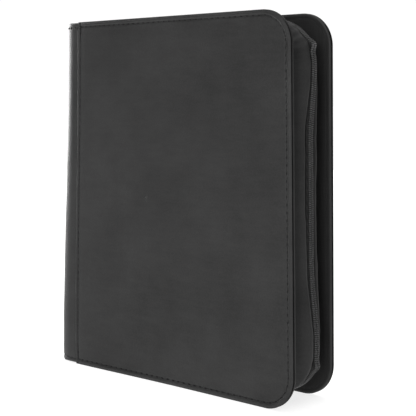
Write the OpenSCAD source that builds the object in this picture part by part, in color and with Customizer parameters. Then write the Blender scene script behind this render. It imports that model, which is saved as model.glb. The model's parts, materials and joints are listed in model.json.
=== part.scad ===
// Zip-up album for trading cards: two padded covers on a flat spine, a soft gusset
// with a coil zip round three sides, and twenty leaves of side-loading pockets.
// Standing on its lower edge. X runs from the spine to the fore edge, Y from the
// front cover to the back cover, Z up. All sizes in millimetres.

/* [Album] */
// Height of the covers
album_h = 340; // [250:1:400]
// Width from the spine's outer face to the fore edge
album_w = 280; // [200:1:360]
// Thickness over both covers
album_t = 64; // [40:1:90]
// Radius of the covers' outer corners
corner_r = 30; // [8:1:40]

/* [Covers] */
// Thickness of the leatherette skin
skin_t = 0.8; // [0.4:0.1:1.5]
// Thickness of the foam padding
pad_t = 1.6; // [1:0.1:4]
// Thickness of the stiffening board
board_t = 2; // [1:0.1:4]
// Thickness of the inner lining
lining_t = 0.6; // [0.3:0.1:1.5]
// Distance of the seam from the spine's outer face
seam_x = 19; // [12:1:40]
// Length of wrap tucked under the front panel
tuck = 8; // [4:1:15]

/* [Spine] */
// Outer radius of the fold at each hinge
fold_r = 3; // [2:0.5:6]
// Gap from the hinge line to the boards
board_gap = 2.2; // [1.5:0.1:5]
// Gap from the hinge line to the skins
skin_gap = 0.5; // [0.3:0.1:1.5]
// Thickness of the spine's padding
spine_pad_t = 0.6; // [0.3:0.1:3]
// Thickness of the spine's lining
spine_lining_t = 0.8; // [0.3:0.1:2]

/* [Gusset and zip] */
// Inset of the zip tape from the covers' top and bottom edges
zip_inset_z = 7; // [3:0.5:15]
// Inset of the zip tape from the covers' fore edge
zip_inset_x = 4.2; // [1:0.2:10]
// Radius of the zip's path at the corners
zip_r = 40; // [10:1:50]
// Distance from the spine's outer face to the end of the tape
tape_start = 18; // [10:1:40]
// Thickness of the zip tape
tape_t = 0.8; // [0.4:0.1:1.5]
// Distance of the tape's outer edge from the middle plane
tape_edge = 10.9; // [7:0.1:15]
// Distance of each half's inner edge from the middle plane
half_gap = 0.6; // [0.3:0.1:1.5]
// Radius of each row of coil
coil_r = 1; // [0.6:0.1:2]
// Inset of the gusset's foot from the path of the zip
gusset_in = 13.6; // [8:0.2:20]
// Width of the gusset's hem on the lining
gusset_hem = 5; // [3:0.5:8]
// Thickness of the gusset
gusset_t = 1; // [0.6:0.1:2]
// Distance of the gusset's outer edge from the middle plane
gusset_lip = 7.5; // [5:0.1:12]

/* [Slider] */
// Length of the slider
slider_l = 12; // [8:0.5:18]
// Width of the slider
slider_w = 8.4; // [6:0.1:12]
// Distance from the spine's outer face to the closed slider's middle
slider_home = 32; // [24:1:60]
// Length of the pull tab
pull_l = 27; // [15:1:45]
// Width of the pull tab
pull_w = 7; // [4:0.5:12]

/* [Leaves] */
// Width of a leaf from its crease
leaf_w = 232; // [150:1:260]
// Height of a leaf
leaf_h = 290; // [200:1:320]
// Distance between neighbouring leaves
leaf_pitch = 2.2; // [1.5:0.1:3]
// Step between neighbouring creases across the spine
leaf_step = 1.2; // [1:0.1:2]
// Thickness of a leaf's core
core_t = 0.3; // [0.2:0.05:0.6]
// Thickness of the clear film
film_t = 0.1; // [0.05:0.01:0.2]
// Depth of an empty pocket
pocket_t = 0.12; // [0.05:0.01:0.4]
// Width of the welds between pockets
weld_w = 2.5; // [1.5:0.5:5]
// Plain margin beside the crease
leaf_margin = 10; // [6:1:20]
// Width of the slot at each pocket's open side
slot_w = 1.5; // [0.5:0.5:4]

/* [Hidden] */
$fn = 96;
leaves = 20;
eps = 0.02;

spine_x = -album_w / 2;
fore_x = album_w / 2;
face = album_t / 2;
cover_t = skin_t + pad_t + board_t + lining_t;
inner = face - cover_t;
wrap_face = face - skin_t;
hinge_x = spine_x + fold_r;
hinge_y = wrap_face - fold_r;
board_x = hinge_x + board_gap;
seam = spine_x + seam_x;
rim = face - skin_t - pad_t - board_t;
spine_board_x = spine_x + skin_t + spine_pad_t;
spine_inner = spine_board_x + board_t + spine_lining_t;
spine_half = hinge_y - board_gap;

path_x = fore_x - zip_inset_x;
path_top = album_h - zip_inset_z;
path_bottom = zip_inset_z;
path_start = spine_x + tape_start;
home_x = spine_x + slider_home;

base_t = 1.5;
fin_t = 0.5;
fin_first = 4.3;
crease = 0.6;
leaf_t = core_t + 2 * pocket_t + 2 * film_t;
leaf_z = (album_h - leaf_h) / 2;
pocket_w = (leaf_w - leaf_margin - 4 * weld_w) / 3;
pocket_h = (leaf_h - 4 * weld_w) / 3;

plate_t = 1;
plate_z = path_top + 2 * coil_r + 0.4;
plate_top = plate_z + plate_t;
pin_r = 0.45;
pin_x = 1.8;
pin_z = plate_top + 0.3 + pin_r;

function leaf_y(k) = (k - (leaves + 1) / 2) * leaf_pitch;
function leaf_rank(k) = min(k - 1, leaves - k);
function crease_x(k) = spine_inner + base_t + fin_first + leaf_step * leaf_rank(k);

// A flat outline in X and Z with rounded corners at the fore edge only.
module outline(x0, x1, inset) {
  r = corner_r - inset;
  z0 = inset;
  z1 = album_h - inset;
  translate([x0, z0]) square([x1 - r - x0, z1 - z0]);
  translate([x0, z0 + r]) square([x1 - x0, z1 - z0 - 2 * r]);
  translate([x1 - r, z0 + r]) circle(r = r);
  translate([x1 - r, z1 - r]) circle(r = r);
}

// A layer parallel to the front cover, from depth a to depth b off the middle plane.
module layer(a, b) {
  translate([0, -a, 0]) rotate([90, 0, 0]) linear_extrude(height = b - a) children();
}

// A box given by its two corners.
module block(lo, hi) {
  translate(lo) cube(hi - lo);
}

// A profile carried round the top, the fore edge and the bottom of the front half.
// The profile's x is the distance outwards and its y the distance off the middle plane.
module round_path(start) {
  straight = path_x - zip_r - start;
  rotate([90, 0, 0]) {
    translate([start, path_top, 0]) rotate([90, 0, 90])
      linear_extrude(height = straight) children();
    translate([path_x - zip_r, path_top - zip_r, 0])
      rotate_extrude(angle = 90) translate([zip_r, 0]) children();
    translate([path_x, path_top - zip_r, 0]) rotate([90, 0, 0])
      linear_extrude(height = path_top - path_bottom - 2 * zip_r) children();
    translate([path_x - zip_r, path_bottom + zip_r, 0]) rotate([0, 0, -90])
      rotate_extrude(angle = 90) translate([zip_r, 0]) children();
    translate([start, path_bottom, 0]) mirror([0, 1, 0]) rotate([90, 0, 90])
      linear_extrude(height = straight) children();
  }
}

// Leatherette over the spine, turned in over the board at top and bottom.
module spine_skin() color([0.09, 0.09, 0.09]) {
  edge = hinge_y - skin_gap;
  block([spine_x, -edge, 0], [spine_x + skin_t, edge, album_h]);
  for (z = [0, album_h - skin_t])
    block([spine_x + skin_t, -spine_half, z],
          [spine_board_x + board_t, spine_half, z + skin_t]);
}

module spine_padding() color([0.5, 0.5, 0.48]) {
  block([spine_x + skin_t, -spine_half, skin_t],
        [spine_board_x, spine_half, album_h - skin_t]);
}

module spine_board() color([0.45, 0.42, 0.36]) {
  block([spine_board_x, -spine_half, skin_t],
        [spine_board_x + board_t, spine_half, album_h - skin_t]);
}

module spine_lining() color([0.06, 0.06, 0.06]) {
  block([spine_board_x + board_t, -spine_half, 1],
        [spine_inner, spine_half, album_h - 1]);
}

// The strip that holds the leaves: a base and one stub for each leaf.
module page_binding() color([0.05, 0.05, 0.05]) {
  half = (leaves / 2) * leaf_pitch + 1;
  block([spine_inner, -half, leaf_z], [spine_inner + base_t, half, leaf_z + leaf_h]);
  for (k = [1:leaves])
    block([spine_inner + base_t, leaf_y(k) - fin_t / 2, leaf_z],
          [crease_x(k) - 0.5, leaf_y(k) + fin_t / 2, leaf_z + leaf_h]);
}

// The front panel's leatherette, a shallow tray turned in round three edges.
module front_panel() color([0.08, 0.08, 0.08]) {
  difference() {
    layer(rim, face) outline(seam, fore_x, 0);
    layer(rim - 1, face - skin_t) outline(seam - 1, fore_x - skin_t, skin_t);
  }
}

// The wrap from the spine, lying under the panel's edge at the seam.
module front_wrap() color([0.09, 0.09, 0.09]) {
  x0 = hinge_x + skin_gap;
  block([x0, -wrap_face, 0], [seam, -wrap_face + skin_t, album_h]);
  block([seam, -wrap_face, skin_t], [seam + tuck, -wrap_face + skin_t, album_h - skin_t]);
  for (z = [0, album_h - skin_t])
    block([board_x, -wrap_face + skin_t, z], [seam, -rim, z + skin_t]);
}

module front_padding() color([0.5, 0.5, 0.48]) {
  layer(rim + board_t, face - skin_t) outline(seam + tuck, fore_x - skin_t, skin_t);
  block([board_x, -wrap_face + skin_t, skin_t], [seam + tuck, -rim - board_t, album_h - skin_t]);
}

module front_board() color([0.45, 0.42, 0.36]) {
  layer(rim, rim + board_t) outline(board_x, fore_x - skin_t, skin_t);
}

module front_lining() color([0.06, 0.06, 0.06]) {
  layer(inner, rim) outline(board_x, fore_x - 1, 1);
}

// Soft wall from the lining up to the zip tape, hemmed at both edges.
module front_gusset() color([0.07, 0.07, 0.07]) {
  round_path(path_start) polygon([
    [-gusset_in - gusset_hem, inner],
    [-gusset_in, inner],
    [gusset_t - 0.4, tape_edge + 1.6],
    [gusset_t, tape_edge + 0.7],
    [gusset_t, gusset_lip],
    [eps, gusset_lip],
    [eps, tape_edge + 0.3],
    [-gusset_in - 1, inner - gusset_t],
    [-gusset_in - gusset_hem, inner - gusset_t]
  ]);
}

module front_tape() color([0.1, 0.1, 0.1]) {
  round_path(path_start) translate([-tape_t, half_gap])
    square([tape_t, tape_edge - half_gap]);
}

// A plain round bar in the place of the coil's front row.
module front_coil() color([0.12, 0.12, 0.12]) {
  round_path(home_x + slider_l / 2 + 0.5)
    translate([coil_r + eps, half_gap + coil_r]) circle(r = coil_r);
}

// The small caps over the tape's two ends.
module front_end_tabs() color([0.08, 0.08, 0.08]) {
  for (side = [0, 1])
    translate([0, 0, side * album_h]) mirror([0, 0, side]) {
      z = path_bottom;
      block([path_start - 4, -tape_edge, z - 1],
            [path_start - eps, -half_gap, z + tape_t + 1]);
      block([path_start - eps, -gusset_lip + 0.2, z - 1],
            [path_start + 4, -half_gap, z - eps]);
    }
}

module back_panel() mirror([0, 1, 0]) front_panel();
module back_wrap() mirror([0, 1, 0]) front_wrap();
module back_padding() mirror([0, 1, 0]) front_padding();
module back_board() mirror([0, 1, 0]) front_board();
module back_lining() mirror([0, 1, 0]) front_lining();
module back_gusset() mirror([0, 1, 0]) front_gusset();
module back_tape() mirror([0, 1, 0]) front_tape();
module back_end_tabs() mirror([0, 1, 0]) front_end_tabs();

// The coil's back row starts behind the closed slider.
module back_coil() color([0.12, 0.12, 0.12]) {
  mirror([0, 1, 0]) round_path(home_x - slider_l / 2 - 2)
    translate([coil_r + eps, half_gap + coil_r]) circle(r = coil_r);
}

// A slider's plate, round at both ends.
module slider_plate() {
  r = slider_w / 2;
  square([slider_l - 2 * r, slider_w], center = true);
  for (x = [-1, 1]) translate([x * (slider_l / 2 - r), 0]) circle(r = r);
}

// Two plates round the coil, joined by a thin post, with a bail for the pull.
module slider_body() color([0.16, 0.16, 0.17]) {
  low_top = path_top - tape_t - 0.3;
  lip_z = path_top + 0.7;
  lip_w = 0.7;
  translate([home_x, 0, 0]) {
    translate([0, 0, plate_z]) linear_extrude(height = plate_t) slider_plate();
    translate([0, 0, low_top - 0.9]) linear_extrude(height = 0.9) slider_plate();
    for (s = [-1, 1])
      translate([-2.5, s * (slider_w / 2 - lip_w / 2) - lip_w / 2, lip_z])
        cube([5, lip_w, plate_z - lip_z]);
    block([2.5, -0.25, low_top], [5.5, 0.25, plate_z]);
    for (x = [-3.6, 2.8]) block([x, -0.7, plate_top], [x + 0.8, 0.7, plate_top + 1.5]);
    block([-3.6, -0.7, plate_top + 1.5], [3.6, 0.7, plate_top + 2.3]);
  }
}

// The pull: a pin under the bail, two arms and a flat tab with a hole.
module pull_tab() color([0.16, 0.16, 0.17]) {
  arm = 7;
  translate([home_x + pin_x, 0, pin_z]) {
    rotate([90, 0, 0]) cylinder(r = pin_r, h = 5.2, center = true);
    for (y = [-2.6, 1.1]) block([0, y, -pin_r], [arm, y + 1.5, pin_r]);
    difference() {
      translate([0, 0, -pin_r]) linear_extrude(height = 2 * pin_r) {
        translate([arm, -pull_w / 2]) square([pull_l - arm - pull_w / 2, pull_w]);
        translate([pull_l - pull_w / 2, 0]) circle(d = pull_w);
      }
      translate([pull_l - pull_w / 2, 0, 0]) cylinder(r = 1.5, h = 4, center = true);
    }
  }
}

// One leaf: a core with a film on each face, welded into nine pockets a side.
// Each pocket is open through a slot in the film on the side next to the spine.
module leaf(k) color([0.13, 0.13, 0.14, 0.9]) {
  translate([crease_x(k), leaf_y(k), leaf_z])
    difference() {
      block([crease, -leaf_t / 2, 0], [leaf_w, leaf_t / 2, leaf_h]);
      for (side = [-1, 1], column = [0:2]) {
        x = leaf_margin + weld_w + column * (pocket_w + weld_w);
        y = side < 0 ? -core_t / 2 - pocket_t : core_t / 2;
        cut = side < 0 ? -leaf_t / 2 - 1 : core_t / 2;
        for (row = [0:2])
          translate([x, y, weld_w + row * (pocket_h + weld_w)])
            cube([pocket_w, pocket_t, pocket_h]);
        translate([x, cut, weld_w])
          cube([slot_w, leaf_t / 2 - core_t / 2 + 1, leaf_h - 2 * weld_w]);
      }
    }
}

spine_skin();
spine_padding();
spine_board();
spine_lining();
page_binding();
front_panel();
front_wrap();
front_padding();
front_board();
front_lining();
front_gusset();
front_tape();
front_coil();
front_end_tabs();
back_panel();
back_wrap();
back_padding();
back_board();
back_lining();
back_gusset();
back_tape();
back_coil();
back_end_tabs();
slider_body();
pull_tab();
leaf(1);  // leaf_01
leaf(2);  // leaf_02
leaf(3);  // leaf_03
leaf(4);  // leaf_04
leaf(5);  // leaf_05
leaf(6);  // leaf_06
leaf(7);  // leaf_07
leaf(8);  // leaf_08
leaf(9);  // leaf_09
leaf(10);  // leaf_10
leaf(11);  // leaf_11
leaf(12);  // leaf_12
leaf(13);  // leaf_13
leaf(14);  // leaf_14
leaf(15);  // leaf_15
leaf(16);  // leaf_16
leaf(17);  // leaf_17
leaf(18);  // leaf_18
leaf(19);  // leaf_19
leaf(20);  // leaf_20
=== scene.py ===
"""Looks of the zip-up card album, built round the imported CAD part. Metres, in the part's own frame."""

import json
import math

import bmesh
import bpy
import numpy as np
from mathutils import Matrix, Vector


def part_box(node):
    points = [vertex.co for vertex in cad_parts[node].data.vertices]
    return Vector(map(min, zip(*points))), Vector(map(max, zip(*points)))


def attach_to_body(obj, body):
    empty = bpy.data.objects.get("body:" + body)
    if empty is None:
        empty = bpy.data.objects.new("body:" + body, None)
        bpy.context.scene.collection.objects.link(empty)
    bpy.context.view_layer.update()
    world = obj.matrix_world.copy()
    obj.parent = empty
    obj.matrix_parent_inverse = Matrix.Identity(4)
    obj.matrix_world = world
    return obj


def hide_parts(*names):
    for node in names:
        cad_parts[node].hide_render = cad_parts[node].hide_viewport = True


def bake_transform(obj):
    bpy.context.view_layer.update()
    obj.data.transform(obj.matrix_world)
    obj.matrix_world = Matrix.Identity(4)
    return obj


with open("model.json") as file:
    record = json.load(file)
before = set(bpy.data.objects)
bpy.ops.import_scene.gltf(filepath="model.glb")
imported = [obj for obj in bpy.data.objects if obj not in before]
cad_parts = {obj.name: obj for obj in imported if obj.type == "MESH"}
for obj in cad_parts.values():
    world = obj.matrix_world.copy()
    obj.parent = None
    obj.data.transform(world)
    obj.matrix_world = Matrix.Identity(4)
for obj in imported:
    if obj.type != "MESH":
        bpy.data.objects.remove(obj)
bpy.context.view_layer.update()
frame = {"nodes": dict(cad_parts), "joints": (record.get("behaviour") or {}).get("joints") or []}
MM = 0.001


# ---------------------------------------------------------------- sizes read from the frame


def low_high(node):
    low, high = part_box(node)
    return np.array(low), np.array(high)


PANEL_LOW, PANEL_HIGH = low_high("front_panel")
WRAP_LOW = low_high("front_wrap")[0]
SPINE_LOW = low_high("spine_skin")[0]
LINING_HIGH = low_high("front_lining")[1]
SPINE_LINING_HIGH = low_high("spine_lining")[1]
TAPE_LOW, TAPE_HIGH = low_high("front_tape")
JOINTS = {j["name"]: j for j in frame["joints"]}

FACE = -PANEL_LOW[1]  # a cover's outer face, off the middle plane
INNER = -LINING_HIGH[1]  # its inner face
STRIP = -WRAP_LOW[1]  # the wrap's outer face beside the seam
FORE, TOP = PANEL_HIGH[0], PANEL_HIGH[2]
SEAM = PANEL_LOW[0] - 1.6 * MM  # the panel's folded edge laps over the wrap
SPINE_X, SPINE_INNER = SPINE_LOW[0], SPINE_LINING_HIGH[0]
HINGE_X, HINGE_Y = JOINTS["front_hinge"]["pos_m"][0], -JOINTS["front_hinge"]["pos_m"][1]
ZIP_X, ZIP_TOP, ZIP_BOTTOM, ZIP_START = TAPE_HIGH[0], TAPE_HIGH[2], TAPE_LOW[2], TAPE_LOW[0]

CORNER_R = 30 * MM
ZIP_R = 40 * MM
STITCH_IN = 5.0 * MM
STITCH_PITCH = 6.6 * MM
SEAM_STITCH = 3.4 * MM
STITCH_SIZE = (2.35 * MM, 0.4 * MM, 0.32 * MM)  # half length, half width, half height
# half sizes of the near-black bead at each needle hole: painted shade
HOLE_SHADE_SIZE = (1.45 * MM, 1.0 * MM, 0.45 * MM)
TOOTH_SIZE = (1.6 * MM, 0.38 * MM, 0.9 * MM)
TEETH_PITCH = 1.6 * MM
LEAN = 3.0 * MM


# ---------------------------------------------------------------- mesh helpers


def smoothstep(x):
    x = np.clip(x, 0, 1)
    return x * x * (3 - 2 * x)


def bell(x, centre, width):
    return np.exp(-(((x - centre) / width) ** 2))


def waves(x, seed, count=5, longest=0.2, shortest=0.03):
    """A smooth random wave of about unit size along x."""
    rng = np.random.default_rng(seed)
    lengths = np.geomspace(longest, shortest, count)
    total = np.zeros_like(x)
    for length in lengths:
        total += math.sqrt(length / longest) * np.sin(
            2 * np.pi * (x / length + rng.random())
        )
    return total / 1.6


def drape(x, z, seed, count=9, longest=0.16, shortest=0.05):
    """A smooth random height of about unit size over a flat field."""
    rng = np.random.default_rng(seed)
    total = np.zeros_like(x)
    for _ in range(count):
        length, turn = rng.uniform(shortest, longest), rng.uniform(0, np.pi)
        along = x * math.cos(turn) + z * math.sin(turn)
        total += length / longest * np.sin(2 * np.pi * (along / length + rng.random()))
    return total / math.sqrt(count)


def new_object(name, verts, faces, material, uv=None):
    mesh = bpy.data.meshes.new(name)
    mesh.from_pydata([tuple(v) for v in verts], [], faces)
    if uv is not None:
        layer = mesh.uv_layers.new(name="cloth")
        loop_verts = np.array([l.vertex_index for l in mesh.loops])
        layer.data.foreach_set("uv", np.asarray(uv, np.float32)[loop_verts].ravel())
    mesh.polygons.foreach_set("use_smooth", [True] * len(mesh.polygons))
    mesh.update()
    obj = bpy.data.objects.new(name, mesh)
    bpy.context.scene.collection.objects.link(obj)
    if material:
        mesh.materials.append(material)
    return obj


def grid_faces(rows, columns, flip=False, wrap=False):
    """Quads over a grid of rows by columns of points."""
    i = np.arange(rows if wrap else rows - 1)
    j = np.arange(columns - 1)
    a = (i[:, None] * columns + j[None, :]).ravel()
    b = (((i + 1) % rows)[:, None] * columns + j[None, :]).ravel()
    quads = np.stack([a, a + 1, b + 1, b], -1)
    return (quads[:, ::-1] if flip else quads).tolist()


def grid_object(name, grid, material, flip=False, wrap=False, uv=None):
    rows, columns = grid.shape[:2]
    return new_object(
        name,
        grid.reshape(-1, 3),
        grid_faces(rows, columns, flip, wrap),
        material,
        None if uv is None else uv.reshape(-1, 2),
    )


def grid_uv(grid):
    """Lengths along and across a grid of points, in metres."""
    along = np.linalg.norm(np.diff(grid, axis=1), axis=2).mean(axis=0)
    across = np.linalg.norm(np.diff(grid, axis=0), axis=2).mean(axis=1)
    u = np.concatenate([[0], np.cumsum(along)])
    v = np.concatenate([[0], np.cumsum(across)])
    return np.stack(np.meshgrid(u, v), -1)


def apply_modifiers(obj):
    graph = bpy.context.evaluated_depsgraph_get()
    mesh = bpy.data.meshes.new_from_object(obj.evaluated_get(graph))
    obj.modifiers.clear()
    obj.data = mesh
    return obj


def thicken(obj, thickness, offset=-1.0):
    solid = obj.modifiers.new("thickness", "SOLIDIFY")
    solid.thickness, solid.offset, solid.use_even_offset = thickness, offset, False
    return apply_modifiers(obj)


def point_outwards(obj):
    mesh = bmesh.new()
    mesh.from_mesh(obj.data)
    bmesh.ops.remove_doubles(mesh, verts=mesh.verts, dist=1e-6)
    bmesh.ops.recalc_face_normals(mesh, faces=mesh.faces)
    mesh.to_mesh(obj.data)
    mesh.free()
    return obj


def rounded_block(name, low, high, radius, material):
    """A soft-edged block between two corners."""
    mesh = bmesh.new()
    bmesh.ops.create_cube(mesh, size=1)
    for v in mesh.verts:
        v.co = [l + (c + 0.5) * (h - l) for c, l, h in zip(v.co, low, high)]
    bmesh.ops.bevel(mesh, geom=mesh.edges, offset=radius, segments=4, profile=0.6, affect="EDGES")
    bmesh.ops.recalc_face_normals(mesh, faces=mesh.faces)
    data = bpy.data.meshes.new(name)
    mesh.to_mesh(data)
    mesh.free()
    data.polygons.foreach_set("use_smooth", [True] * len(data.polygons))
    data.materials.append(material)
    obj = bpy.data.objects.new(name, data)
    bpy.context.scene.collection.objects.link(obj)
    return obj


def spline(points, count):
    """A smooth curve through the control points, with the given number of samples."""
    p = np.asarray(points, float)
    p = np.vstack([2 * p[0] - p[1], p, 2 * p[-1] - p[-2]])
    t = np.linspace(0, len(points) - 1, count)
    k = np.minimum(t.astype(int), len(points) - 2)
    f = (t - k)[:, None]
    a, b, c, d = p[k], p[k + 1], p[k + 2], p[k + 3]
    return 0.5 * (
        2 * b + (c - a) * f + (2 * a - 5 * b + 4 * c - d) * f**2
        + (3 * b - a - 3 * c + d) * f**3
    )


def arc_length(points):
    steps = np.linalg.norm(np.diff(points, axis=0), axis=1)
    return np.concatenate([[0], np.cumsum(steps)])


def spaced(points, pitch, margin=0.0):
    """Points and directions every pitch along a line."""
    s = arc_length(points)
    at = np.arange(margin, s[-1] - margin, pitch)
    where = np.stack([np.interp(at, s, points[:, k]) for k in range(3)], -1)
    ahead = np.stack([np.interp(at + pitch / 8, s, points[:, k]) for k in range(3)], -1)
    back = np.stack([np.interp(at - pitch / 8, s, points[:, k]) for k in range(3)], -1)
    way = ahead - back
    return where, way / np.linalg.norm(way, axis=1, keepdims=True), at


# ---------------------------------------------------------------- the path round three sides


def u_path(x_end, z_top, z_bottom, radius, start, head=(0.0,), runs=120, arcs=30, fore=220):
    """Points (x, z) and outward normals along the bottom, round the fore edge and back along the top."""
    radius = max(radius, 0.6 * MM)
    x_arc = x_end - radius
    head = np.asarray(head, float)
    run = np.concatenate([start + head, np.linspace(start + head[-1], x_arc, runs)[1:]])
    turn = np.linspace(0, np.pi / 2, arcs + 2)[1:-1]
    side = np.linspace(z_bottom + radius, z_top - radius, fore)
    parts = [
        (run, np.full_like(run, z_bottom), 0 * run, 0 * run - 1),
        (x_arc + radius * np.sin(turn), z_bottom + radius - radius * np.cos(turn), np.sin(turn), -np.cos(turn)),
        (np.full_like(side, x_end), side, 0 * side + 1, 0 * side),
        (x_arc + radius * np.cos(turn), z_top - radius + radius * np.sin(turn), np.cos(turn), np.sin(turn)),
        (run[::-1], np.full_like(run, z_top), 0 * run, 0 * run + 1),
    ]
    x, z, nx, nz = (np.concatenate([p[k] for p in parts]) for k in range(4))
    return np.stack([x, z], -1), np.stack([nx, nz], -1)


def outline(inset, start, head, **counts):
    """The cover's outline, moved inwards."""
    return u_path(FORE - inset, TOP - inset, inset, CORNER_R - inset, start, head, **counts)


def zip_line(out, radius, start=None, **counts):
    """The zip's path, moved outwards, with its own corner radius."""
    begin = ZIP_START if start is None else start
    return u_path(ZIP_X + out, ZIP_TOP + out, ZIP_BOTTOM - out, radius, begin, **counts)


SPINE_CORE_IN = 6 * MM  # how far the spine's board and padding end below the top and above the foot
# How far the zip's front edge, coil and back edge stand out, in mm: near the top, half way up, near the foot.
SET_OUT = {
    "front": (0.6, -1.5, 1.7), "coil": (2.1, 0.7, 3.3), "back": (1.3, 0.5, 2.9),
}


def settle(points):
    """How the soft parts sit: the covers lean and the zip wanders near the album's outer corners."""
    p = points.copy()
    x, y, z = points[..., 0], points[..., 1], points[..., 2]
    share = 0.72 - 0.28 * np.clip(y / INNER, -1, 1)
    p[..., 0] += LEAN * share * (1 - z / TOP) * smoothstep((x - SEAM) / (FORE - SEAM))
    high = smoothstep((z - 0.228) / 0.06)
    low = smoothstep((0.125 - z) / 0.075)
    heights = (high, 1 - high - low, low)
    fore = smoothstep((x - 0.1) / 0.03)
    loose = smoothstep(1.25 - np.abs(y) / (21 * MM)) * fore
    held = 1 - smoothstep((y - 1.5 * MM) / (8.5 * MM))
    coil = bell(y, 0.5 * MM, 5.5 * MM)
    drawn = (3.3 * high + 3.0 * low) * held
    drawn = drawn + coil * (1.1 * high + 0.9 * heights[1] + 1.6 * low)
    p[..., 1] += loose * MM * drawn
    to_coil, to_back = smoothstep((y + 7 * MM) / (3.6 * MM)), smoothstep((y - 3 * MM) / (4 * MM))
    for k, share in enumerate(heights):
        front, middle, back = (SET_OUT[part][k] * MM for part in ("front", "coil", "back"))
        p[..., 0] += loose * share * (front + (middle - front) * to_coil + (back - middle) * to_back)
    buckle = 4.2 * MM * bell(z, 0.3112, 4.6 * MM) + 3.3 * MM * bell(z, 0.0323, 4.5 * MM)
    p[..., 0] += loose * to_coil * buckle
    swell = smoothstep((0.3 - z) / 0.26) * smoothstep((0.02 - x) / 0.16)
    swell = swell * smoothstep((np.abs(y) - 22 * MM) / (8 * MM))
    p[..., 1] += 3.0 * MM * swell * np.sign(y)
    return p


# ---------------------------------------------------------------- materials


class Shader:
    """A small helper for building one node material."""

    def __init__(self, name):
        self.material = bpy.data.materials.new(name)
        self.material.use_nodes = True
        self.tree = self.material.node_tree
        self.shader = self.tree.nodes["Principled BSDF"]
        self.place = self.tree.nodes.new("ShaderNodeTexCoord")

    def link(self, a, b):
        self.tree.links.new(a, b)

    def where(self, space="Object", stretch=(1, 1, 1)):
        scale = self.tree.nodes.new("ShaderNodeMapping")
        scale.inputs["Scale"].default_value = stretch
        self.link(self.place.outputs[space], scale.inputs["Vector"])
        return scale.outputs["Vector"]

    def noise(self, scale, detail=3.0, roughness=0.5, where=None):
        n = self.tree.nodes.new("ShaderNodeTexNoise")
        n.inputs["Scale"].default_value = scale
        n.inputs["Detail"].default_value = detail
        n.inputs["Roughness"].default_value = roughness
        self.link(where or self.where(), n.inputs["Vector"])
        return n.outputs["Fac"]

    def cells(self, scale, where=None, feature="SMOOTH_F1"):
        n = self.tree.nodes.new("ShaderNodeTexVoronoi")
        n.feature = feature
        n.inputs["Scale"].default_value = scale
        self.link(where or self.where(), n.inputs["Vector"])
        return n.outputs["Distance"]

    def bands(self, scale, direction="X", where=None, distortion=0.0):
        n = self.tree.nodes.new("ShaderNodeTexWave")
        n.bands_direction = direction
        n.inputs["Scale"].default_value = scale
        n.inputs["Distortion"].default_value = distortion
        self.link(where or self.where(), n.inputs["Vector"])
        return n.outputs["Fac"]

    def math(self, operation, a, b):
        n = self.tree.nodes.new("ShaderNodeMath")
        n.operation = operation
        for socket, value in zip(n.inputs, (a, b)):
            if isinstance(value, (int, float)):
                socket.default_value = value
            else:
                self.link(value, socket)
        return n.outputs["Value"]

    def ramp(self, value, stops):
        n = self.tree.nodes.new("ShaderNodeValToRGB")
        n.color_ramp.elements[0].position, n.color_ramp.elements[0].color = stops[0][0], (*stops[0][1], 1)
        n.color_ramp.elements[1].position, n.color_ramp.elements[1].color = stops[-1][0], (*stops[-1][1], 1)
        for position, colour in stops[1:-1]:
            n.color_ramp.elements.new(position).color = (*colour, 1)
        self.link(value, n.inputs["Fac"])
        return n.outputs["Color"]

    def spread(self, value, low, high):
        n = self.tree.nodes.new("ShaderNodeMapRange")
        n.inputs["To Min"].default_value, n.inputs["To Max"].default_value = low, high
        self.link(value, n.inputs["Value"])
        return n.outputs["Result"]

    def bump(self, height, depth, strength=1.0, over=None):
        n = self.tree.nodes.new("ShaderNodeBump")
        n.inputs["Distance"].default_value = depth
        n.inputs["Strength"].default_value = strength
        self.link(height, n.inputs["Height"])
        if over is not None:
            self.link(over, n.inputs["Normal"])
        return n.outputs["Normal"]

    def finish(self, colour=None, roughness=None, normal=None, **fixed):
        if colour is not None:
            self.link(colour, self.shader.inputs["Base Color"])
        if roughness is not None:
            self.link(roughness, self.shader.inputs["Roughness"])
        if normal is not None:
            self.link(normal, self.shader.inputs["Normal"])
        for name, value in fixed.items():
            self.shader.inputs[name.replace("_", " ")].default_value = value
        return self.material


def grey(value, warm=0.0):
    return (value * (1 + warm), value, value * (1 - warm))


def leatherette(name, tone, grain=1.0, rough=0.52):
    """Fine pebbled leatherette: closed pores, faint creases and soft patches of sheen."""
    s = Shader(name)
    patches = s.noise(16, 4, 0.6)
    streaks = s.noise(1.0, 4, 0.6, s.where("Object", (50, 50, 240)))
    fine = s.noise(700, 3, 0.6)
    mixed = s.math("ADD", s.math("MULTIPLY", patches, 0.5), s.math("MULTIPLY", streaks, 0.18))
    colour = s.ramp(
        s.math("ADD", mixed, s.math("MULTIPLY", fine, 0.32)),
        [(0.36, grey(tone * 0.66)), (0.5, grey(tone)), (0.66, grey(tone * 1.42))],
    )
    pores = s.cells(1500)
    creases = s.cells(420, feature="DISTANCE_TO_EDGE")
    height = s.math("ADD", s.math("MULTIPLY", pores, 0.6), s.math("MULTIPLY", creases, 0.5))
    normal = s.bump(height, 0.00011 * grain, 0.75, s.bump(s.noise(60, 3), 0.00035, 0.5))
    return s.finish(
        colour, s.spread(s.noise(45, 3), rough - 0.06, rough + 0.09), normal,
        Specular_IOR_Level=0.22,
    )


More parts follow.
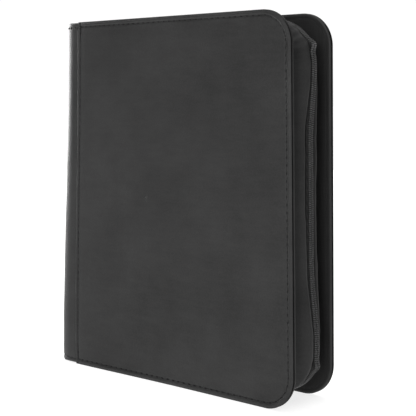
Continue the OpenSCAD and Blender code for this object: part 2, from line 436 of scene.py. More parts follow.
def woven(name, tone, warp=1500.0, weft=1100.0, depth=0.00012, rough=0.85, space="UV"):
    """Cloth whose threads follow the strip it is woven into."""
    s = Shader(name)
    at = s.where(space)
    threads = s.math("MULTIPLY", s.bands(warp / 20, "X", at), s.bands(weft / 20, "Y", at))
    fuzz = s.noise(2600, 2, 0.6)
    height = s.math("ADD", threads, s.math("MULTIPLY", fuzz, 0.4))
    colour = s.ramp(
        s.math("ADD", s.math("MULTIPLY", threads, 0.6), s.math("MULTIPLY", s.noise(90), 0.4)),
        [(0.05, grey(tone * 0.55)), (0.45, grey(tone)), (0.9, grey(tone * 1.5))],
    )
    return s.finish(colour, s.spread(fuzz, rough - 0.05, rough + 0.08), s.bump(height, depth, 0.9),
                    Sheen_Weight=0.25, Sheen_Roughness=0.4, Specular_IOR_Level=0.3)


def lining_cloth(name, tone):
    """Smooth dark lining with a faint run of threads up the cover."""
    s = Shader(name)
    runs = s.noise(1.0, 3, 0.55, s.where("Object", (900, 900, 30)))
    cross = s.noise(1.0, 2, 0.5, s.where("Object", (40, 40, 1600)))
    mixed = s.math("ADD", s.math("MULTIPLY", runs, 0.65), s.math("MULTIPLY", cross, 0.35))
    colour = s.ramp(mixed, [(0.3, grey(tone * 0.6)), (0.5, grey(tone)), (0.72, grey(tone * 1.6))])
    return s.finish(colour, s.spread(runs, 0.72, 0.92), s.bump(mixed, 0.00015, 0.8),
                    Sheen_Weight=0.15, Sheen_Roughness=0.4, Specular_IOR_Level=0.25)


def thread(name, tone):
    s = Shader(name)
    twist = s.bands(1800 / 20, "DIAGONAL")
    return s.finish(s.ramp(twist, [(0.1, grey(tone * 0.6)), (0.9, grey(tone * 1.3))]), None,
                    s.bump(twist, 0.00006, 0.8), Roughness=0.7, Specular_IOR_Level=0.3)


def nylon(name, tone):
    s = Shader(name)
    wear = s.noise(240, 3)
    return s.finish(s.ramp(wear, [(0.3, grey(tone * 0.8)), (0.7, grey(tone * 1.3))]),
                    s.spread(wear, 0.34, 0.5), s.bump(s.noise(2200, 2), 0.00003, 0.6))


def lacquered_metal(name, tone):
    """Black lacquer over cast metal, with fine brighter scratches and softly rounded edges."""
    s = Shader(name)
    rounding = s.tree.nodes.new("ShaderNodeBevel")
    rounding.inputs["Radius"].default_value = 0.00022
    scratches = s.noise(1.0, 3, 0.6, s.where("Object", (300, 2600, 300)))
    normal = s.bump(scratches, 0.00003, 0.7, rounding.outputs["Normal"])
    return s.finish(s.ramp(scratches, [(0.35, grey(tone)), (0.8, grey(tone * 2.2))]),
                    s.spread(scratches, 0.24, 0.42), normal, Metallic=0.85, Coat_Weight=0.3)


def pocket_film(name, tone):
    """Clear film lying on the black core: glossy, with faint ripples."""
    s = Shader(name)
    ripple = s.noise(1.0, 3, 0.5, s.where("Object", (38, 38, 22)))
    fine = s.noise(700, 2)
    colour = s.ramp(ripple, [(0.3, grey(tone * 0.85)), (0.7, grey(tone * 1.2))])
    return s.finish(colour, s.spread(fine, 0.09, 0.2), s.bump(ripple, 0.0009, 0.35, s.bump(fine, 0.00002, 0.4)),
                    Coat_Weight=0.6, Coat_Roughness=0.06, Specular_IOR_Level=0.6)


def weld_line(name, tone):
    """The rolled weld between pockets: a fine cross-ribbed band."""
    s = Shader(name)
    ribs = s.math("MULTIPLY", s.bands(1400 / 20, "X"), s.bands(1400 / 20, "Z"))
    return s.finish(s.ramp(ribs, [(0.1, grey(tone * 0.7)), (0.9, grey(tone * 1.6))]), None,
                    s.bump(ribs, 0.0001, 0.9), Roughness=0.42)


def moulded_plastic(name, tone):
    s = Shader(name)
    grain = s.noise(1500, 2)
    return s.finish(s.ramp(s.noise(60), [(0.3, grey(tone * 0.85)), (0.7, grey(tone * 1.2))]),
                    s.spread(grain, 0.42, 0.6), s.bump(grain, 0.00005, 0.6))


def grey_board(name):
    s = Shader(name)
    fibres = s.noise(1.0, 4, 0.6, s.where("Object", (700, 700, 160)))
    colour = s.ramp(fibres, [(0.3, (0.25, 0.22, 0.18)), (0.7, (0.47, 0.43, 0.37))])
    return s.finish(colour, None, s.bump(fibres, 0.0002, 0.7), Roughness=0.9)


def foam(name):
    s = Shader(name)
    cells = s.cells(1300)
    colour = s.ramp(cells, [(0.0, (0.22, 0.22, 0.2)), (0.6, (0.58, 0.57, 0.53))])
    return s.finish(colour, None, s.bump(cells, 0.0003, 0.9), Roughness=0.95)


SKIN = leatherette("leatherette", 0.022)
GUSSET_SKIN = leatherette("gusset_leatherette", 0.021, 0.8, 0.5)
TAPE = woven("zip_tape", 0.006)
COIL = nylon("zip_coil", 0.09)
LINING = lining_cloth("lining", 0.013)
THREAD = thread("thread", 0.018)
# near-black material for the bead at each needle hole: painted shade
HOLE_SHADE = thread("needle_hole_painted_shade", 0.0015)
# near-black leatherette for the groove round the cover's edge: painted shade
GROOVE_SHADE = leatherette("groove_painted_shade", 0.005, 0.6)
METAL = lacquered_metal("black_lacquer", 0.05)
FILM = pocket_film("pocket_film", 0.012)
WELD = weld_line("weld_line", 0.02)
PLASTIC = moulded_plastic("binding_plastic", 0.014)
BOARD = grey_board("grey_board")
FOAM = foam("foam")


def attach(obj, body, slot, *nodes):
    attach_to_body(obj, body)
    if nodes:
        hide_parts(*nodes)
    return obj


def flipped(grid, side):
    """The grid for the front half as it is, or mirrored for the back half."""
    if side < 0:
        return grid
    out = grid.copy()
    out[..., 1] *= -1
    return out


# ---------------------------------------------------------------- stitches


def capsule(count_round=8, count_long=7):
    """A unit capsule along X: rings of points from -1 to 1."""
    t = np.linspace(-1, 1, count_long)
    size = np.sqrt(np.clip(1 - t**4, 0.02, 1))
    turn = np.linspace(0, 2 * np.pi, count_round, endpoint=False)
    ring = np.stack([np.cos(turn), np.sin(turn)], -1)
    verts = np.array([[a, *(size[i] * r)] for i, a in enumerate(t) for r in ring])
    faces = []
    for i in range(count_long - 1):
        for j in range(count_round):
            k = (j + 1) % count_round
            this, after = i * count_round, (i + 1) * count_round
            faces.append([this + j, this + k, after + k, after + j])
    faces.append(list(range(count_round))[::-1])
    faces.append([(count_long - 1) * count_round + j for j in range(count_round)])
    return verts, faces


def beads(name, centres, along, outward, size, material, sink=0.0):
    """One mesh of many small capsules: size is (half length, half width, half height)."""
    shape, quads = capsule()
    across = np.cross(outward, along)
    across /= np.linalg.norm(across, axis=1, keepdims=True)
    local = shape * np.array(size)
    bow = -sink * shape[:, 0] ** 2
    verts = (
        centres[:, None, :]
        + local[None, :, 0, None] * along[:, None, :]
        + local[None, :, 1, None] * across[:, None, :]
        + (local[:, 2] + bow)[None, :, None] * outward[:, None, :]
    )
    faces = [[v + k * len(shape) for v in face] for k in range(len(centres)) for face in quads]
    return point_outwards(new_object(name, verts.reshape(-1, 3), faces, material))


def stitch_line(name, points, outward):
    """A run of lockstitch along a line, with a near-black bead at each needle hole that it dips into: painted shade
    in the hole.
    """
    centres, along, at = spaced(points, STITCH_PITCH, STITCH_PITCH / 2)
    s = arc_length(points)
    out = np.stack([np.interp(at, s, outward[:, k]) for k in range(3)], -1)
    out /= np.linalg.norm(out, axis=1, keepdims=True)
    thread = beads(name, centres, along, out, STITCH_SIZE, THREAD, 0.3 * MM)
    # a near-black bead at each needle hole: painted shade
    hole_shades = beads(name + "_hole_shades", centres + along * STITCH_PITCH / 2, along, out, HOLE_SHADE_SIZE, HOLE_SHADE, 0.0)
    for_join = [thread, hole_shades]
    with bpy.context.temp_override(active_object=thread, selected_editable_objects=for_join):
        bpy.ops.object.join()
    return thread


# ---------------------------------------------------------------- covers


def round_edge(e, radius):
    """Depth of a rounded edge below the flat, at distance e from it."""
    inside = np.clip(radius - e, 0, radius)
    return radius - np.sqrt(np.maximum(radius**2 - inside**2, 0))


def outer_depth(e, along):
    """Depth of the padded face below its nominal plane, at distance e from the edge and a length along it."""
    beat = 0.5 + 0.5 * np.cos(2 * np.pi * along / STITCH_PITCH)
    lip = -0.45 * MM * bell(e, 2.7 * MM, 1.3 * MM) + 0.6 * MM * (1 - smoothstep(e / (3.0 * MM)))
    valley = (0.25 + 0.5 * beat) * MM * bell(e, STITCH_IN, 0.75 * MM)
    pucker = -0.1 * MM * beat * bell(e, STITCH_IN + 2.2 * MM, 1.5 * MM)
    crown = -0.75 * MM * smoothstep((e - STITCH_IN) / (16 * MM))
    return round_edge(e, 0.4 * MM) + lip + valley + pucker + crown + 0.1 * MM


def seam_depth(s, z):
    """Extra depth beside the seam: the folded edge, its ridge and the topstitched valley."""
    beat = 0.5 + 0.5 * np.cos(2 * np.pi * (z - STITCH_IN) / STITCH_PITCH)
    edge = 0.9 * MM * np.exp(-s / (0.25 * MM))
    ridge = -0.45 * MM * bell(s, 1.2 * MM, 0.8 * MM)
    valley = (0.9 + 0.4 * beat) * MM * bell(s, SEAM_STITCH, 0.8 * MM)
    flat = 0.4 * MM * (1 - smoothstep(s / (12 * MM)))
    return edge + ridge + valley + flat


SEAM_HEAD = np.array([0, 0.12, 0.3, 0.6, 1.0, 1.5, 2.1, 2.7, 3.1, 3.5, 3.9, 4.3, 5.0, 6.0, 7.2]) * MM
EDGE_ROWS = np.array(
    [0.08, 0.3, 0.6, 1.0, 1.5, 2.1, 2.8, 3.5, 4.0, 4.4, 4.7, 5.0, 5.3, 5.7, 6.2, 6.9, 7.8, 9.2, 11, 14, 18, 22.5]
) * MM
FIELD_ROWS = np.linspace(27, 169.6, 26) * MM
PANEL_HEM = (  # distance in from the edge and depth below the face, in mm: inner hem, fold, groove, outer fold
    (8.5, 5.0), (5.8, 5.02), (5.0, 4.85), (4.2, 5.02), (2.6, 5.08), (1.4, 5.04), (0.6, 4.85),
    (0.18, 4.5), (0.05, 4.1), (0.06, 3.6), (0.3, 3.2), (0.8, 2.95), (1.8, 2.8), (3.2, 2.6),
    (3.8, 2.0), (3.0, 1.4), (1.6, 1.24), (0.6, 1.14), (0.2, 1.04), (0.06, 0.9),
)
# the depth range and the reach in from the edge that take the groove's painted shade
GROOVE_DEPTH = (1.02 * MM, 3.3 * MM)
GROOVE_REACH = 8 * MM
LINING_HEM = (  # distance in from the edge and lift off the nominal plane, in mm: turned edge and stitched dip
    (1.5, -0.5), (1.4, 0.0), (1.7, 0.2), (3.6, 0.22), (4.4, -0.05), (4.8, -0.05), (5.3, 0.15), (6.5, 0.25), (9, 0.28),
)


def panel_grid():
    """The padded panel: from the hem on its inner side, round the edge and in to the middle of its face."""
    counts = dict(head=SEAM_HEAD, runs=190, arcs=30, fore=250)
    along = arc_length(outline(STITCH_IN, SEAM, **counts)[0]) - SEAM_STITCH
    rows = []
    for e, depth in PANEL_HEM:
        p = outline(e * MM, SEAM, **counts)[0]
        rows.append(np.stack([p[:, 0], np.full(len(p), -FACE + depth * MM), p[:, 1]], -1))
    for e in np.concatenate([EDGE_ROWS, FIELD_ROWS]):
        p = outline(e, SEAM, **counts)[0]
        x, z = p[:, 0], p[:, 1]
        depth = outer_depth(np.full(len(p), e), along) + seam_depth(x - SEAM, z)
        loose = smoothstep((e - 6 * MM) / (20 * MM)) * smoothstep((x - SEAM - 5 * MM) / (20 * MM))
        depth = depth + 0.16 * MM * loose * drape(x, z, 3)
        rows.append(np.stack([x, -FACE + depth, z], -1))
    return np.array(rows)


def paint_groove_shade(obj):
    """The groove between the panel's two folded edges gets a near-black material along the cut: painted shade in the
    groove.
    """
    obj.data.materials.append(GROOVE_SHADE)
    for face in obj.data.polygons:
        depth = FACE - abs(face.center[1])
        short = min(FORE - face.center[0], TOP - face.center[2], face.center[2])
        # faces in the groove get the near-black painted shade
        face.material_index = int(GROOVE_DEPTH[0] < depth < GROOVE_DEPTH[1] and short < GROOVE_REACH)


def make_panel(name, side):
    grid = settle(flipped(panel_grid(), side))
    rows, columns = grid.shape[:2]
    faces = grid_faces(rows, columns, flip=side > 0)
    faces += [quad[::-1] if side > 0 else quad for quad in closed_across((rows - 1) * columns, columns)]
    obj = new_object(name + "_padded_panel", grid.reshape(-1, 3), faces, SKIN)
    paint_groove_shade(point_outwards(obj))
    attach(obj, name + "_cover", "leatherette", name + "_panel", name + "_padding")
    make_border_stitches(name, side)
    return obj


def make_border_stitches(name, side):
    p, _ = outline(STITCH_IN, SEAM + SEAM_STITCH, head=(0.0,), runs=190, arcs=30, fore=250)
    z = np.linspace(STITCH_IN, TOP - STITCH_IN, 300)
    seam_x, depth = np.full(300, SEAM + SEAM_STITCH), 0.55 * MM
    runs = {
        "border": np.stack([p[:, 0], np.full(len(p), -FACE + depth), p[:, 1]], -1),
        "seam": np.stack([seam_x, np.full(300, -FACE + depth), z], -1),
    }
    for label, line in runs.items():
        out = np.tile([0.0, -1.0, 0.0], (len(line), 1))
        obj = stitch_line(f"{name}_{label}_stitches", settle(flipped(line, side)), flipped(out, side))
        attach(obj, name + "_cover", "leatherette")


def make_board(name, side):
    """The stiff board, cut short of the border stitching."""
    low, high = low_high(name + "_board")
    near, far = sorted((abs(low[1]), abs(high[1])))
    start, edge, middle = low[0], 6.5, 166
    section = ((middle, 0), (edge + 0.4, 0), (edge, 0.3), (edge, 1.7), (edge + 0.4, 2), (middle, 2))
    rows = []
    for e, depth in section:
        p, _ = outline(e * MM, start, head=(0.0,), runs=40, arcs=16, fore=50)
        rows.append(np.stack([p[:, 0], np.full(len(p), -far + depth / 2 * (far - near)), p[:, 1]], -1))
    grid = settle(flipped(np.array(rows), side))
    obj = new_object(name + "_stiff_board", grid.reshape(-1, 3), bridged_faces(len(rows), len(p)), BOARD)
    return attach(point_outwards(obj), name + "_cover", "board", name + "_board")


def closed_across(base, columns):
    """Faces that join the two arms of a row that runs round three sides."""
    end = base + columns - 1
    return [[base + i, base + i + 1, end - 1 - i, end - i] for i in range(columns // 2 - 1)]


def bridged_faces(rows, columns):
    """Faces over rows that run round three sides, with the first and last row each closed across."""
    faces = grid_faces(rows, columns)
    return faces + closed_across(0, columns) + closed_across((rows - 1) * columns, columns)


def make_lining(name, side):
    """The cover's lining with its turned edge, stitched through at the border."""
    start = HINGE_X + 5.2 * MM
    rows = []
    for e, lift in LINING_HEM:
        p, _ = outline(e * MM, start, head=(0.0,), runs=160, arcs=24, fore=200)
        rows.append(np.stack([p[:, 0], np.full(len(p), -INNER + lift * MM), p[:, 1]], -1))
    for e in np.linspace(14, 168, 24) * MM:
        p, _ = outline(e, start, head=(0.0,), runs=160, arcs=24, fore=200)
        lift = 0.28 * MM + 0.08 * MM * drape(p[:, 0], p[:, 1], 11)
        rows.append(np.stack([p[:, 0], -INNER + lift, p[:, 1]], -1))
    grid = settle(flipped(np.array(rows), side))
    rows_n, columns = grid.shape[:2]
    faces = grid_faces(rows_n, columns) + closed_across((rows_n - 1) * columns, columns)
    obj = new_object(name + "_lining_cloth", grid.reshape(-1, 3), faces, LINING)
    point_outwards(obj)
    return attach(obj, name + "_cover", "lining", name + "_lining")


# ---------------------------------------------------------------- wrap: spine, folds and strips


def wrap_bulge(z):
    """How far the soft spine stands proud, up the album."""
    return 1.8 * MM + 5.4 * MM * (1 - smoothstep((z - 0.04) / (TOP - 0.08)))


def wrap_section(z, count_spine=16, count_fold=30, count_strip=16):
    """Points and outward normals in plan, from the middle of the spine to under the panel's edge, at height z."""
    puff = wrap_bulge(z)
    wide, deep = 12 * MM + 0.7 * puff, 7 * MM
    centre = np.array([SPINE_X - puff + wide, -STRIP + deep])
    y = np.linspace(0, centre[1], count_spine, endpoint=False)
    x = np.full(count_spine, SPINE_X - puff)
    turn = np.linspace(0, np.pi / 2, count_fold, endpoint=False)
    arc = centre + np.stack([-wide * np.cos(turn), -deep * np.sin(turn)], -1)
    strip_x = np.linspace(centre[0], SEAM + 6 * MM, count_strip)
    points = np.concatenate([np.stack([x, y], -1), arc, np.stack([strip_x, np.full(count_strip, -STRIP)], -1)])
    facing = np.stack([-np.cos(turn) / wide, -np.sin(turn) / deep], -1)
    facing /= np.linalg.norm(facing, axis=1, keepdims=True)
    back, out = np.tile([-1.0, 0.0], (count_spine, 1)), np.tile([0.0, -1.0], (count_strip, 1))
    normals = np.concatenate([back, facing, out])
    return points, normals


def wrap_depths():
    """Rows up the wrap as (height z, share of the thickness, depth): hem, edge, lip, valley, field and back."""
    low = [(7, 1, 0), (3, 1, 0), (1.2, 1, -0.15), (0.35, 0.82, 0), (0.05, 0.6, 0), (0.05, 0.4, 0)]
    low += [(0.3, 0, 1.35), (0.7, 0, 0.75), (1.3, 0, 0.25), (2.0, 0, -0.05), (2.8, 0, -0.2), (3.6, 0, 0.0)]
    low += [(4.2, 0, 0.38), (4.6, 0, 0.5), (5.0, 0, 0.38), (5.7, 0, 0.05), (7, 0, -0.1), (10, 0, -0.12)]
    edge = [(z * MM + 0.5 * MM, share, depth * MM) for z, share, depth in low]
    field = [(z, 0, -0.12 * MM) for z in np.linspace(16 * MM, TOP - 16 * MM, 56)]
    return edge + field + [(TOP - z, share, depth) for z, share, depth in edge[::-1]]


def wrap_grid():
    rows = []
    for z, share, depth in wrap_depths():
        points, normals = wrap_section(z)
        fold = bell(np.arange(len(points)), 29, 9)
        spine = 1 - smoothstep((np.abs(points[:, 1]) - 17 * MM) / (8 * MM))
        thickness = (4.2 - 3.0 * fold) * MM + (wrap_bulge(z) + 0.9 * MM) * spine
        squeeze = np.minimum(1.0, thickness / (2.9 * MM))
        inward = share * thickness + depth * (squeeze if depth > 0.6 * MM else 1.0)
        under = smoothstep((points[:, 0] - SEAM + 1.6 * MM) / (1.8 * MM)) * (points[:, 1] < -HINGE_Y)
        inward = inward + 0.7 * MM * under * (share == 0)
        soft = 0.12 * MM * waves(np.full(len(points), z) + 0.2 * points[:, 0], 5)
        p = points - normals * (inward + soft * (share == 0))[:, None]
        rows.append(np.stack([p[:, 0], p[:, 1], np.full(len(p), z)], -1))
    return np.array(rows)


def make_wrap(name, side):
    grid = settle(flipped(wrap_grid(), side))
    obj = grid_object(name + "_wrap_skin", grid, SKIN, flip=side < 0)
    point_outwards(obj)
    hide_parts(name + "_wrap", "spine_skin")
    make_wrap_stitches(name, side)
    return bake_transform(obj)


def make_wrap_stitches(name, side):
    """Topstitching along the wrap's upper and lower edges."""
    for label, z in (("lower", STITCH_IN + 0.5 * MM), ("upper", TOP - STITCH_IN - 0.5 * MM)):
        points, normals = wrap_section(z)
        keep = points[:, 0] < SEAM
        points, normals = points[keep] - 0.75 * MM * normals[keep], normals[keep]
        line = np.stack([points[:, 0], points[:, 1], np.full(len(points), z)], -1)
        out = np.stack([normals[:, 0], normals[:, 1], np.zeros(len(points))], -1)
        obj = stitch_line(f"{name}_wrap_{label}_stitches", settle(flipped(line, side)), flipped(out, side))
        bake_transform(obj)


def make_spine_core():
    """The spine's board and padding, ending below the wrap's turned-in edge."""
    for node, label, material in (("spine_board", "board", BOARD), ("spine_padding", "foam", FOAM)):
        low, high = low_high(node)
        low[2], high[2] = SPINE_CORE_IN, TOP - SPINE_CORE_IN
        attach(rounded_block(node + "_core", low, high, 0.3 * MM, material), "spine", label, node)


def make_hinge_cloth(name, side):
    """Lining that runs from the spine over the hinge gap to the cover, with slack for opening."""
    plan = spline(
        [
            (SPINE_INNER + 0.2 * MM, -HINGE_Y + 7 * MM), (SPINE_INNER + 0.15 * MM, -HINGE_Y + 3.5 * MM),
            (SPINE_INNER - 0.5 * MM, -HINGE_Y + 1.2 * MM), (HINGE_X + 0.2 * MM, -HINGE_Y - 0.6 * MM),
            (HINGE_X + 2.0 * MM, -HINGE_Y + 0.4 * MM), (HINGE_X + 4.2 * MM, -INNER + 0.25 * MM),
            (HINGE_X + 8 * MM, -INNER + 0.4 * MM),
        ],
        30,
    )
    z = np.concatenate([[3, 3.4, 4.2], np.linspace(6, 334, 60), [335.8, 336.6, 337]]) * MM
    grid = np.stack([np.stack([plan[:, 0], plan[:, 1], np.full(30, h)], -1) for h in z])
    grid = flipped(grid, side)
    obj = thicken(grid_object(name + "_hinge_cloth", grid, LINING, flip=side > 0), 0.35 * MM, 0.0)
    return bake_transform(obj)


# ---------------------------------------------------------------- gusset and zip


def corner_weight(p):
    """Near 1 at the path's two rounded corners."""
    far = smoothstep((p[:, 0] - (ZIP_X - 34 * MM)) / (14 * MM))
    upper = smoothstep((p[:, 1] - (ZIP_TOP - 48 * MM)) / (18 * MM))
    lower = smoothstep((ZIP_BOTTOM + 48 * MM - p[:, 1]) / (18 * MM))
    return far * np.maximum(upper, lower)


def fore_sag(p):
    """The wall's outer edge hangs slack in the middle of the fore edge and stands full near its ends."""
    fore = smoothstep((p[:, 0] - 0.1) / 0.03)
    height = p[:, 1] / TOP
    return fore * (bell(height, 0.57, 0.17) - 0.45 * bell(height, 0.14, 0.09) - 0.2 * bell(height, 0.82, 0.07))


def wall_rows(side, count=30):
    """The gusset's section, hem on the lining to rolled outer edge: out, off the middle, corner radius."""
    control = np.array([
        (-18.6, 26.8, 21.4), (-14.6, 26.7, 25.4), (-13.0, 25.0, 27), (-10.8, 21.4, 29.5), (-7.4, 17.2, 33),
        (-3.4, 13.2, 37), (-0.6, 10.4, 39.5), (0.8, 8.7, 40.8), (1.25, 7.5, 41.2), (1.05, 6.5, 41.3),
        (0.3, 6.1, 41), (-0.6, 6.5, 40), (-1.5, 7.3, 39),
    ]) * MM
    edge = bell(control[:, 1], 6.8 * MM, 3 * MM)
    if side < 0:
        control[:, 0] += 0.9 * MM * edge
    else:
        control[:, 0] -= 1.2 * MM * edge
        control[:, 1] += 1.6 * MM * edge
    return spline(control, count)


PLEAT_PITCH = 0.0062


def make_gusset(name, side):
    counts = dict(runs=150, arcs=40, fore=170)
    rows = []
    table = wall_rows(side)
    for k, (out, off, radius) in enumerate(table):
        p, n = zip_line(out, radius, **counts)
        free = smoothstep((25 * MM - off) / (15 * MM))
        s = np.linspace(0, 1, len(p)) * 0.75
        slack = fore_sag(p)
        ripple = waves(s, 21 + side, 6, 0.16, 0.018)
        pleat = corner_weight(p) * np.sin(2 * np.pi * s / PLEAT_PITCH + 0.8 * waves(s, 4))
        pleat = pleat * bell(k / len(table), 0.5, 0.28)
        push = free * (0.3 * MM * ripple - 0.8 * MM * slack) + 0.2 * MM * pleat
        shift = free * (0.5 * MM * slack + 0.3 * MM * waves(s, 33 + side, 5, 0.2, 0.03))
        q = p + n * push[:, None]
        rows.append(np.stack([q[:, 0], -(off + shift), q[:, 1]], -1))
    grid = settle(flipped(np.array(rows), side))
    uv = grid_uv(grid)
    obj = grid_object(name + "_gusset_wall", grid, GUSSET_SKIN, flip=side < 0, uv=uv)
    thicken(obj, 0.7 * MM, 1.0)
    attach(obj, name + "_cover", "gusset_leatherette", name + "_gusset")
    return obj


def tape_flare(p, off):
    """The tape stands out at the corners, most of all on its outer side."""
    outer = smoothstep((off - 2.5 * MM) / (6 * MM))
    return corner_weight(p) * outer


def make_tape(name, side):
    counts = dict(runs=150, arcs=40, fore=200)
    section = np.array([(-1.6, 11.4), (-1.7, 9.5), (-1.7, 7.5), (-1.6, 5.4), (-0.9, 3.9), (-0.2, 2.4), (-0.1, 0.75)])
    rows = []
    for out, off in spline(section * MM, 18):
        p, n = zip_line(out, ZIP_R, **counts)
        flare = tape_flare(p, off) * (1.2 if side > 0 else 0.0) * MM
        s = np.linspace(0, 1, len(p)) * 0.75
        fore = smoothstep((p[:, 0] - 0.115) / 0.02)
        wave = fore * smoothstep((off - 3 * MM) / (5 * MM)) * 0.3 * MM * waves(s, 52 + side, 5, 0.12, 0.02)
        q = p + n * (flare + wave)[:, None]
        rows.append(np.stack([q[:, 0], np.full(len(q), -off), q[:, 1]], -1))
    grid = settle(flipped(np.array(rows), side))
    uv = grid_uv(grid)
    obj = grid_object(name + "_zip_tape", grid, TAPE, flip=side < 0, uv=uv)
    thicken(obj, 0.55 * MM, -1.0)
    attach(obj, name + "_cover", "zip_tape", name + "_tape")
    return obj


def make_coil(name, side):
    """One row of coil: a small bar across the zip for each turn, meshing with the other row's."""
    start = low_high(name + "_coil")[0][0]
    p, n = zip_line(0.95 * MM, ZIP_R + 0.95 * MM, start=start, runs=200, arcs=60, fore=300)
    line = np.stack([p[:, 0], np.zeros(len(p)), p[:, 1]], -1)
    begin = (0.5 if side < 0 else 1.0) * TEETH_PITCH
    centres, along, at = spaced(line, TEETH_PITCH, begin)
    s = arc_length(line)
    out = np.stack([np.interp(at, s, n[:, 0]), 0 * at, np.interp(at, s, n[:, 1])], -1)
    out /= np.linalg.norm(out, axis=1, keepdims=True)
    across = np.tile([0.0, 1.0, 0.0], (len(at), 1))
    centres = centres + across * side * 1.75 * MM
    teeth = beads(name + "_zip_teeth", settle(centres), across, out, TOOTH_SIZE, COIL, 0.8 * MM)
    attach(teeth, name + "_cover", "zip_coil", name + "_coil")
    cords = []
    for off, radius in ((3.5, 0.3), (4.4, 0.22)):
        p2, n2 = zip_line(-0.5 * MM, ZIP_R, start=ZIP_START, runs=120, arcs=40, fore=160)
        ring = []
        for a in np.linspace(0, 2 * np.pi, 8, endpoint=False):
            reach = radius * MM * np.cos(a)
            across_zip = np.full(len(p2), side * (off + radius * math.sin(a)) * MM)
            ring.append(np.stack([p2[:, 0] + reach * n2[:, 0], across_zip, p2[:, 1] + reach * n2[:, 1]], -1))
        cords.append(settle(np.array(ring)))
    for k, grid in enumerate(cords):
        obj = point_outwards(grid_object(f"{name}_coil_cord_{k + 1}", grid, THREAD, wrap=True))
        attach(obj, name + "_cover", "zip_tape")
    return teeth


def make_end_caps(name, side):
    low, high = low_high(name + "_end_tabs")
    tall = 2.8 * MM
    for label, bottom, top in (("lower", low[2], low[2] + tall), ("upper", high[2] - tall, high[2])):
        corners = (low[0], low[1], bottom), (high[0] - 1 * MM, high[1], top)
        obj = rounded_block(f"{name}_{label}_end_cap", *corners, 0.7 * MM, GUSSET_SKIN)
        attach(obj, name + "_cover", "leatherette", name + "_end_tabs")


# ---------------------------------------------------------------- leaves


def leaf_lines(length, first, pitch, weld, slot):
    """Grid lines along a leaf, closer at the welds and slots."""
    lines = [0.0, first * 0.5]
    for k in range(3):
        start = first + k * pitch
        width = pitch - weld
        lines += [start, start + weld * 0.5, start + weld]
        if slot:
            lines += [start + weld + slot, start + weld + slot + 0.3 * MM]
        lines += [start + weld + width * f for f in (0.06, 0.2, 0.4, 0.6, 0.8, 0.94)]
    end = first + 3 * pitch
    lines += [end, end + weld * 0.5, end + weld]
    return np.unique(np.clip(np.round(lines, 6), 0, length))


def leaf_mesh():
    """One leaf, shared by all twenty: pillowed pockets of film between pressed welds."""
    low, high = low_high("leaf_01")
    width, height = high[0] - low[0], high[2] - low[2]
    half = (high[1] - low[1]) / 2
    weld, margin, slot = 2.5 * MM, 9.4 * MM, 1.5 * MM
    pitch_x, pitch_z = (width - margin - weld) / 3, (height - weld) / 3
    xs = leaf_lines(width, margin, pitch_x, weld, slot)
    zs = leaf_lines(height, 0.0, pitch_z, weld, 0.0)
    x, z = np.meshgrid(xs, zs)
    in_x, in_z = (x - margin) % pitch_x, z % pitch_z
    near = 1e-6
    welded = (in_x <= weld + near) | (in_z <= weld + near) | (x <= margin + near)
    welded = welded | (x >= width - weld - near) | (z >= height - weld - near)
    pillow = np.sin(np.pi * np.clip((in_x - weld) / (pitch_x - weld), 0, 1))
    pillow = pillow * np.sin(np.pi * np.clip((in_z - weld) / (pitch_z - weld), 0, 1))
    slotted = (in_x > weld) & (in_x <= weld + slot + near) & ~welded
    lift = np.where(welded, half * 0.62, half * 0.9 + 0.2 * MM * pillow)
    lift = np.where(slotted, half * 0.45, lift)
    front = np.stack([x, -lift, z], -1)
    back = np.stack([x, lift, z], -1)
    rows, columns = x.shape
    verts = np.concatenate([front.reshape(-1, 3), back.reshape(-1, 3)])
    quads = grid_faces(rows, columns)
    faces = quads + [[v + rows * columns for v in q[::-1]] for q in quads]
    rim = [i for i in range(columns)] + [r * columns + columns - 1 for r in range(1, rows)]
    rim += [(rows - 1) * columns + i for i in range(columns - 2, -1, -1)]
    rim += [r * columns for r in range(rows - 2, 0, -1)]
    for a, b in zip(rim, rim[1:] + rim[:1]):
        faces.append([b, a, a + rows * columns, b + rows * columns])
    mesh = bpy.data.meshes.new("card_leaf")
    mesh.from_pydata([tuple(v) for v in verts], [], faces)
    mesh.materials.append(FILM)
    mesh.materials.append(WELD)
    flat_weld = welded.reshape(-1)
    both = np.concatenate([flat_weld, flat_weld])
    for poly in mesh.polygons:
        poly.use_smooth = True
        poly.material_index = int(all(both[v] for v in poly.vertices))
    mesh.update()
    return mesh


def make_leaves():
    mesh = leaf_mesh()
    for k in range(1, 21):
        node = f"leaf_{k:02d}"
        low, high = low_high(node)
        obj = bpy.data.objects.new(f"pocket_leaf_{k:02d}", mesh)
        bpy.context.scene.collection.objects.link(obj)
        obj.location = (low[0], (low[1] + high[1]) / 2, low[2])
        attach(obj, node, "leaf_plastic", node)
        make_crease(k, low, high)


def make_crease(k, low, high):
    """The scored strip that each leaf turns on."""
    x, y, _ = JOINTS[f"crease_{k:02d}"]["pos_m"]
    xs = np.linspace(x - 1.8 * MM, x + 2.4 * MM, 16)
    thick = 0.26 * MM - 0.12 * MM * bell(xs, x, 0.5 * MM)
    zs = np.linspace(low[2] + 0.5 * MM, high[2] - 0.5 * MM, 30)
    rows = [np.stack([xs, np.full(16, y) - thick, np.full(16, z)], -1) for z in zs]
    obj = thicken(grid_object(f"leaf_crease_{k:02d}", np.array(rows), PLASTIC), 0.5 * MM, 1.0)
    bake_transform(obj)


# ---------------------------------------------------------------- the rest


def finish_cad_nodes():
    """Materials for the CAD nodes that show as they are."""
    kept = {"spine_lining": LINING, "page_binding": PLASTIC, "slider_body": METAL, "pull_tab": METAL}
    for node, material in kept.items():
        mesh = frame["nodes"][node].data
        for k in range(max(1, len(mesh.materials))):
            if len(mesh.materials) == 0:
                mesh.materials.append(material)
            else:
                mesh.materials[k] = material


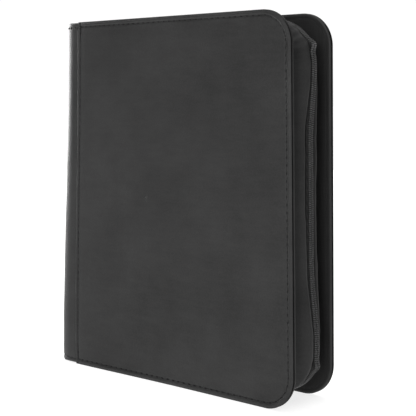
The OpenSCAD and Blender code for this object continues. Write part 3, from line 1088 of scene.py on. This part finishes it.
def area_light(name, place, aim, size, power):
    data = bpy.data.lights.new(name, "AREA")
    data.shape, data.size, data.size_y, data.energy = "RECTANGLE", size[0], size[1], power
    obj = bpy.data.objects.new(name, data)
    obj.location = place
    obj.rotation_euler = (Vector(aim) - Vector(place)).to_track_quat("-Z", "Y").to_euler()
    obj.visible_camera = False
    bpy.context.scene.collection.objects.link(obj)


def plain_stage(name, mesh, material, height):
    obj = bpy.data.objects.new(name, mesh)
    mesh.materials.append(material)
    obj.location.z = height
    bpy.context.scene.collection.objects.link(obj)
    return obj


def make_studio():
    """A pale floor that runs out to a white surround, a soft overhead light and three softboxes."""
    radius = 40.0
    disc, dome = bmesh.new(), bmesh.new()
    bmesh.ops.create_circle(disc, cap_ends=True, segments=64, radius=radius)
    bmesh.ops.create_uvsphere(dome, u_segments=48, v_segments=24, radius=radius)
    meshes = []
    for name, shape in (("floor", disc), ("surround", dome)):
        meshes.append(bpy.data.meshes.new(name))
        shape.to_mesh(meshes[-1])
        shape.free()
    s = Shader("pale_floor")
    tone = s.ramp(s.noise(3, 2), [(0.3, grey(0.32)), (0.7, grey(0.35))])
    s.finish(tone, Roughness=0.8, Specular_IOR_Level=0.1, Emission_Color=(1, 1, 1, 1), Emission_Strength=0.8)
    plain_stage("floor", meshes[0], s.material, -0.2 * MM)
    s = Shader("white_surround")
    s.finish(Base_Color=(0, 0, 0, 1), Emission_Color=(1, 1, 1, 1), Emission_Strength=1.0)
    surround = plain_stage("surround", meshes[1], s.material, 0.0)
    surround.visible_diffuse = surround.visible_glossy = surround.visible_shadow = False
    surround.visible_transmission = surround.visible_volume_scatter = False
    world = bpy.data.worlds.new("studio")
    world.use_nodes = True
    world.node_tree.nodes["Background"].inputs["Color"].default_value = (1, 1, 1, 1)
    world.node_tree.nodes["Background"].inputs["Strength"].default_value = 0.07
    bpy.context.scene.world = world
    sun = bpy.data.lights.new("overhead", "SUN")
    sun.energy, sun.angle = 2.6, math.radians(70)
    sun_obj = bpy.data.objects.new("overhead", sun)
    bpy.context.scene.collection.objects.link(sun_obj)
    centre = (0, 0, 0.17)
    area_light("key", (0.5, -1.8, 0.7), centre, (1.0, 1.4), 20)
    area_light("backlight", (-2.0, 1.5, 0.9), centre, (2.4, 2.4), 34)
    area_light("left", (-2.0, 0.1, 0.6), centre, (0.5, 1.2), 42)
    bpy.context.scene.view_settings.view_transform = "Standard"


CAMERA_PLACE = (0.6611, -0.7397, 0.2628)
CAMERA_YAW = math.radians(40.84)
CAMERA_LENS = 90.87  # mm, on a sensor 36 mm wide
CAMERA_SHIFT = -0.2606  # the camera looks level, so that upright edges stay upright


def make_camera():
    data = bpy.data.cameras.new("camera")
    data.sensor_width, data.lens = 36, CAMERA_LENS
    data.shift_y = CAMERA_SHIFT
    obj = bpy.data.objects.new("camera", data)
    obj.location = CAMERA_PLACE
    obj.rotation_euler = (math.radians(90), 0, CAMERA_YAW)
    bpy.context.scene.collection.objects.link(obj)
    bpy.context.scene.camera = obj


for half_name, half_side in (("front", -1), ("back", 1)):
    make_panel(half_name, half_side)
    make_board(half_name, half_side)
    make_lining(half_name, half_side)
    make_wrap(half_name, half_side)
    make_hinge_cloth(half_name, half_side)
    make_gusset(half_name, half_side)
    make_tape(half_name, half_side)
    make_coil(half_name, half_side)
    make_end_caps(half_name, half_side)
make_spine_core()
make_leaves()
finish_cad_nodes()
make_studio()
make_camera()
